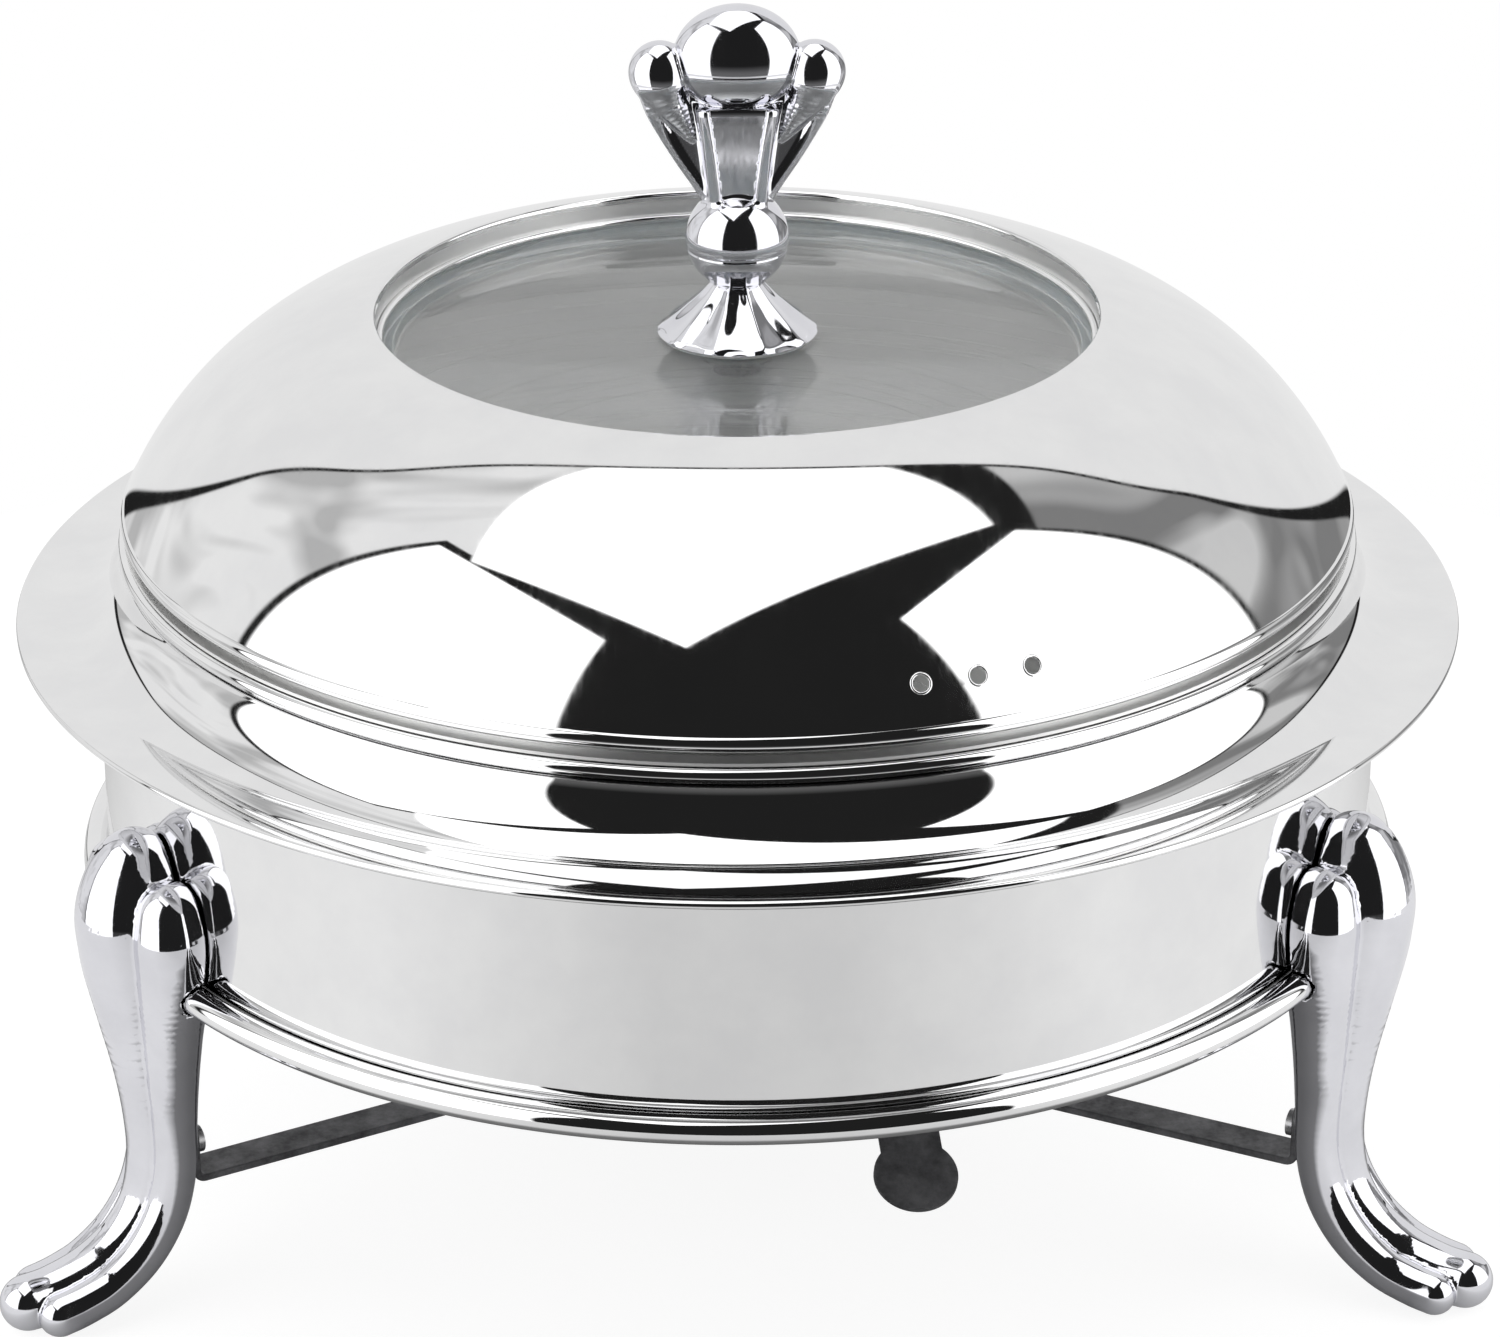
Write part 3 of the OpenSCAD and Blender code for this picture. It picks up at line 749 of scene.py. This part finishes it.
# Rows of x, y, height above the brim and radius, in mm: the wings' outer rims and the tails
# that carry the side lobes down into them.
CROWN_RIM = spline([(20.6, 0, 130.0, 3.6), (19.6, 0, 124.5, 2.7), (17.2, 0, 118.5, 1.9),
                    (13.6, 0, 112.2, 1.7), (9.6, 0, 106.0, 1.6), (6.0, 0, 100.0, 1.6)], 4) * MM
CROWN_TAIL = spline([(18.2, 0, 131.5, 5.8), (16.0, 0, 126.6, 4.6), (13.2, 0, 121.8, 2.9),
                     (10.8, 0, 117.6, 1.5)], 4) * MM


def build_knob():
    lo = np.array([-27, -15, 80]) * MM + np.array([0, 0, BRIM_Z])
    hi = np.array([27, 15, 152]) * MM + np.array([0, 0, BRIM_Z])
    step = 0.5 * MM
    obj = solid_from_field("knob_crown_casting", crown_field, lo, hi, step, [CAST_CHROME])
    place(obj, "knob_crown", "lid")
    build_foot()


def build_foot():
    """Flared foot with ten hollow flutes."""
    lo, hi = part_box("knob_foot")
    foot_r, flutes, sides = hi.x, 10, 240
    rows = [(6.3, 13.0), (7.4, 11.8), (9.6, 9.4), (12.8, 6.6), (16.4, 3.6), (19.0, 1.7), (19.7, 1.0)]
    rows = spline(rows, 4)
    rows = [(r * MM, lo.z + z * MM) for r, z in rows]
    rows += [(foot_r, lo.z + 0.3 * MM), (foot_r - 0.3 * MM, lo.z), (3.3 * MM, lo.z), (3.3 * MM, hi.z)]
    verts, faces = [], []
    for r, z in rows:
        fluted = r > 6.5 * MM and z > lo.z + 0.9 * MM
        depth = 0.1 * min(r, 14 * MM) if fluted else 0
        for k in range(sides):
            a = 2 * math.pi * k / sides
            dip = depth * abs(math.cos((a + math.pi / 2) * flutes / 2)) ** 1.3
            verts.append(((r - dip) * math.cos(a), (r - dip) * math.sin(a), z))
    for i in range(len(rows)):
        j = (i + 1) % len(rows)
        for k in range(sides):
            n = (k + 1) % sides
            faces.append((j * sides + k, j * sides + n, i * sides + n, i * sides + k))
    obj = finish_mesh("knob_foot_casting", verts, faces, [CAST_CHROME], 40)
    place(obj, "knob_foot", "lid")


def build_burner():
    lo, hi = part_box("burner_cup")
    cup_r, corner, thick = hi.x - 2 * MM, 4 * MM, 0.8 * MM
    outside, inside = both_sides(
        [(0, lo.z)] + arc((cup_r - corner, lo.z + corner), corner, -90, 0, 8)
        + [(cup_r, hi.z - thick - 0.5 * MM), (cup_r + 0.5 * MM, hi.z - thick), (hi.x, hi.z - thick)], thick)
    inside[-1] = (0, inside[-1][1])
    obj = lathe("burner_cup_shell", outside + inside, [SATIN], sides=160)
    place(obj, "burner_cup", "burner")
    lo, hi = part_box("burner_top")
    flame_r, skirt_r, top = 23 * MM, 41.4 * MM, 1 * MM
    outline = [(skirt_r, lo.z), (hi.x, lo.z)] + arc((hi.x - 1 * MM, hi.z - 1 * MM), 1 * MM, 0, 90, 5)
    outline += [(flame_r + 0.6 * MM, hi.z)] + arc((flame_r + 0.5 * MM, hi.z - 0.5 * MM), 0.5 * MM, 90, 270, 6)
    outline += [(skirt_r, hi.z - top)]
    obj = lathe("burner_top_ring", outline, [SATIN], sides=160)
    place(obj, "burner_top", "burner")
    build_wick()


def build_wick():
    lo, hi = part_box("wick_pad")
    base_r, top_r, round_r = 35 * MM, hi.x, 1.2 * MM
    outline = [(0, lo.z), (base_r, lo.z)] + arc((top_r - round_r, hi.z - round_r), round_r, 5, 90, 5)
    outline += [(top_r * k / 12, hi.z) for k in range(11, -1, -1)]
    obj = lathe("wick_pad_felt", outline, [FELT], sides=160)
    for v in obj.data.vertices:
        if v.co.z > hi.z - 0.1 * MM:
            v.co.z -= 0.5 * MM * (0.5 + 0.5 * math.sin(v.co.x * 700) * math.cos(v.co.y * 610 + v.co.x * 300))
    place(obj, "wick_pad", "burner")


def dress_cad_nodes():
    """CAD pieces that keep their shape: broken edges and their finish."""
    finishes = {
        "bar_screws": FASTENER, "plate_rivets": FASTENER, "knob_washer": FASTENER,
        "knob_screw": FASTENER, "damper_rivet": FASTENER, "damper": STRIP, "knob_gasket_upper": RUBBER,
        "knob_gasket_lower": RUBBER
    }
    for name, mat in finishes.items():
        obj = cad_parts[name]
        obj.data.materials.clear()
        obj.data.materials.append(mat)
        edge = obj.modifiers.new("broken_edges", "BEVEL")
        edge.width = 0.25 * MM
        edge.segments = 2
        edge.limit_method = "ANGLE"
        edge.angle_limit = math.radians(40)


# ---- Studio ----

def build_floor():
    """Round pale table: white to the camera. To rays the metal mirrors it glows with a painted reflection,
    dim ahead, brighter to the sides and dimmer behind, and dark as painted shade close round the dish.
    """
    obj = lathe("floor", [(0, -4 * MM), (0.5, -4 * MM), (0.5, 0), (0, 0)], [], sides=96)
    mat, tree, shader = new_material("pale_floor")
    shader.inputs["Base Color"].default_value = (0.2, 0.2, 0.2, 1)
    shader.inputs["Roughness"].default_value = 0.9
    shader.inputs["Emission Color"].default_value = (1, 1, 1, 1)
    where = node(tree, "ShaderNodeTexCoord").outputs["Object"]
    split = node(tree, "ShaderNodeSeparateXYZ", {"Vector": where})
    front = calc(tree, "MULTIPLY", split.outputs["Y"], -1.0)
    turn = calc(tree, "MULTIPLY", calc(tree, "ARCTAN2", split.outputs["X"], front), 180 / math.pi)
    wide = calc(tree, "ABSOLUTE", turn)
    # Painted reflection: the glow to mirrored rays by azimuth, 0.46 ahead rising to 0.66 at the sides, 0.30
    # less behind.
    painted_reflection_tone = node(tree, "ShaderNodeMapRange", {"Value": wide, "From Min": 12, "From Max": 52, "To Min": 0.46,
                                             "To Max": 0.66}).outputs["Result"]
    painted_reflection_tone = calc(tree, "SUBTRACT", painted_reflection_tone, calc(tree, "MULTIPLY", above(tree, wide, 125, 25), 0.30))
    reach = node(tree, "ShaderNodeVectorMath", {0: where}, operation="LENGTH").outputs["Value"]
    # Painted shade: the glow drops to a tenth within about 0.19 m of the centre, under and round the dish.
    painted_reflection_tone = calc(tree, "MULTIPLY", painted_reflection_tone, between(tree, reach, 0.10, 1.0, 0.19, 0.225))
    seen = node(tree, "ShaderNodeLightPath").outputs["Is Camera Ray"]
    tree.links.new(calc(tree, "MAXIMUM", painted_reflection_tone, calc(tree, "MULTIPLY", seen, 0.88)),
                   shader.inputs["Emission Strength"])
    obj.data.materials.append(mat)


def calc(tree, op, a, b=0.0):
    return node(tree, "ShaderNodeMath", {0: a, 1: b}, operation=op).outputs[0]


def above(tree, value, edge, soft):
    """0 below edge, 1 above it, with a soft step."""
    step = node(tree, "ShaderNodeMapRange",
                {"Value": value, "From Min": edge - soft, "From Max": edge + soft})
    step.interpolation_type = "SMOOTHSTEP"
    return step.outputs["Result"]


def product(tree, *factors):
    total = factors[0]
    for f in factors[1:]:
        total = calc(tree, "MULTIPLY", total, f)
    return total


def inside(tree, value, lo, hi, soft):
    return calc(tree, "SUBTRACT", above(tree, value, lo, soft), above(tree, value, hi, soft))


# The studio's light levels
BOX_LIGHT = 1.5
WALL_LIGHT = 0.84
ROOM_LIGHT = 0.015
# One degree of azimuth on the wall's edge, as a share of the wall's height above the camera
PER_DEGREE = 0.0164
LEFT_BOX = {"faces": -68, "top": 1.6}
RIGHT_BOX = {"faces": 78, "top": 1.8}


def half_plane(tree, x, y, a, b, limit):
    """1 where a x + b y is below limit."""
    value = calc(tree, "ADD", calc(tree, "MULTIPLY", x, a), calc(tree, "MULTIPLY", y, b))
    return calc(tree, "SUBTRACT", 1.0, above(tree, value, limit, 0.008))


def below_edge(tree, turn, slant, faces, top):
    """How far a direction is below a straight level edge, at slope top in the azimuth that it faces."""
    lean = calc(tree, "COSINE", calc(tree, "MULTIPLY", calc(tree, "SUBTRACT", turn, faces), math.pi / 180))
    return calc(tree, "SUBTRACT", calc(tree, "MULTIPLY", lean, top), slant)


def side_panel(tree, turn, slant, edges, faces, top):
    """Upright soft box between two azimuths, under a straight top edge."""
    height = below_edge(tree, turn, slant, faces, top)
    return product(tree, inside(tree, turn, *edges, 0.6), above(tree, height, 0, 0.015))


def rounded_corner(tree, a, b):
    """1 where both values are above 0, with the corner between their edges rounded."""
    return above(tree, node(tree, "ShaderNodeMath", {0: a, 1: b, 2: 0.25}, operation="SMOOTH_MIN").outputs[0],
                 0, 0.006)


def build_studio():
    """Soft boxes above and to each side, a pale backdrop behind and a dark room in front."""
    world = bpy.data.worlds.new("studio")
    world.use_nodes = True
    tree = world.node_tree
    where = node(tree, "ShaderNodeTexCoord").outputs["Generated"]
    where = node(tree, "ShaderNodeMapping", {"Vector": where, "Rotation": (0, 0, -VIEW_TURN)}).outputs[0]
    split = node(tree, "ShaderNodeSeparateXYZ", {"Vector": where})
    x, y, z = split.outputs
    front = calc(tree, "MULTIPLY", y, -1.0)
    turn = calc(tree, "MULTIPLY", calc(tree, "ARCTAN2", x, front), 180 / math.pi)
    lift = calc(tree, "MULTIPLY", calc(tree, "ARCSINE", z), 180 / math.pi)
    level = calc(tree, "SQRT", calc(tree, "SUBTRACT", 1.0, calc(tree, "MULTIPLY", z, z)))
    level = calc(tree, "MAXIMUM", level, 0.02)
    slant = calc(tree, "DIVIDE", z, level)
    left_box = side_panel(tree, turn, slant, (-97.5, -33), **LEFT_BOX)
    right_box = side_panel(tree, turn, slant, (45, 105), **RIGHT_BOX)
    up = calc(tree, "MAXIMUM", z, 0.02)
    over_x = calc(tree, "DIVIDE", x, up)
    over_f = calc(tree, "DIVIDE", front, up)
    top_box = product(tree, half_plane(tree, over_x, over_f, -0.813, -0.582, 0.508),
                      half_plane(tree, over_x, over_f, -0.811, 0.585, 0.55),
                      half_plane(tree, over_x, over_f, 0.791, 0.612, 0.31),
                      half_plane(tree, over_x, over_f, 0.789, -0.614, 0.524),
                      half_plane(tree, over_x, over_f, 0.0, -1.0, 0.585), above(tree, z, 0.1, 0.02))
    wide = calc(tree, "ABSOLUTE", turn)
    on_right = above(tree, x, 0, 0.02)
    start = calc(tree, "SUBTRACT", 131.0, calc(tree, "MULTIPLY", on_right, 7.0))
    knee = calc(tree, "ADD", 25.0, calc(tree, "MULTIPLY", on_right, 5.0))
    drop = calc(tree, "MAXIMUM", calc(tree, "SUBTRACT", knee, lift), 0.0)
    start = calc(tree, "ADD", start, calc(tree, "MULTIPLY", calc(tree, "MULTIPLY", drop, drop), 0.018))
    past = calc(tree, "SUBTRACT", wide, start)
    back = calc(tree, "MULTIPLY", over_f, -1.0)
    wall = rounded_corner(tree, calc(tree, "SUBTRACT", back, 0.605), calc(tree, "MULTIPLY", past, PER_DEGREE))
    gap = calc(tree, "ADD", calc(tree, "MULTIPLY", drop, -0.05), -1.1)
    past_gap = calc(tree, "MULTIPLY", calc(tree, "SUBTRACT", past, gap), PER_DEGREE)
    clear_of_wall = calc(tree, "SUBTRACT", 1.0,
                         rounded_corner(tree, calc(tree, "SUBTRACT", back, 0.585), past_gap))
    grain = node(tree, "ShaderNodeTexNoise", {"Vector": where, "Scale": 1.9, "Detail": 2.0,
                                              "Distortion": 1.2}).outputs["Fac"]
    leftward = calc(tree, "MULTIPLY", turn, -1.0)
    over_left = calc(tree, "MULTIPLY", below_edge(tree, turn, slant, **LEFT_BOX), -1.0)
    left_zone = product(tree, above(tree, leftward, 75, 1.5), above(tree, over_left, 0.1, 0.015))
    left_zone = calc(tree, "MAXIMUM", left_zone, above(tree, leftward, 99.5, 0.6))
    left_soft = product(tree, left_zone, clear_of_wall, between(tree, grain, 0.5, 0.86, 0.40, 0.56))
    right_soft = product(tree, above(tree, turn, 106.5, 0.8), clear_of_wall,
                         half_plane(tree, over_x, over_f, -0.813, 0.583, -0.659),
                         between(tree, grain, 0.22, 0.62, 0.38, 0.60))
    sides = calc(tree, "MAXIMUM", left_soft, right_soft)
    total = calc(tree, "MULTIPLY", calc(tree, "MAXIMUM", left_box, right_box), BOX_LIGHT)
    total = calc(tree, "MAXIMUM", total, calc(tree, "MULTIPLY", top_box, BOX_LIGHT))
    total = calc(tree, "MAXIMUM", total, calc(tree, "MULTIPLY", wall, WALL_LIGHT))
    total = calc(tree, "MAXIMUM", total, sides)
    ahead = calc(tree, "SUBTRACT", 1.0, above(tree, wide, 60, 6))
    room = calc(tree, "ADD", ROOM_LIGHT, product(tree, ahead, between(tree, lift, 0, 0.125, -12, -25)))
    total = calc(tree, "MAXIMUM", total, room)
    seen = node(tree, "ShaderNodeLightPath").outputs["Is Camera Ray"]
    strength = calc(tree, "MAXIMUM", total, seen)
    light = tree.nodes["Background"]
    light.inputs["Color"].default_value = (1, 1, 1, 1)
    tree.links.new(strength, light.inputs["Strength"])
    bpy.context.scene.world = world


def build_camera():
    data = bpy.data.cameras.new("camera")
    data.sensor_width = 36
    data.lens = 119.65
    data.clip_end = 50
    cam = bpy.data.objects.new("camera", data)
    bpy.context.scene.collection.objects.link(cam)
    turn = Matrix.Rotation(VIEW_TURN, 3, "Z")
    cam.location = turn @ Vector((0.0031, -1.15675, 0.6407))
    aim = turn @ Vector((0.0031, 0, 0.1319)) - cam.location
    cam.rotation_mode = "QUATERNION"
    cam.rotation_quaternion = aim.to_track_quat("-Z", "Y")
    bpy.context.scene.camera = cam


build_water_pan()
build_brim_collar()
build_food_pan()
build_lid_dome()
build_seat_ring()
build_support_ring()
build_window()
build_legs()
build_bars()
build_plate()
build_knob()
build_burner()
dress_cad_nodes()
build_floor()
build_studio()
build_camera()
bpy.context.scene.view_settings.view_transform = "Standard"
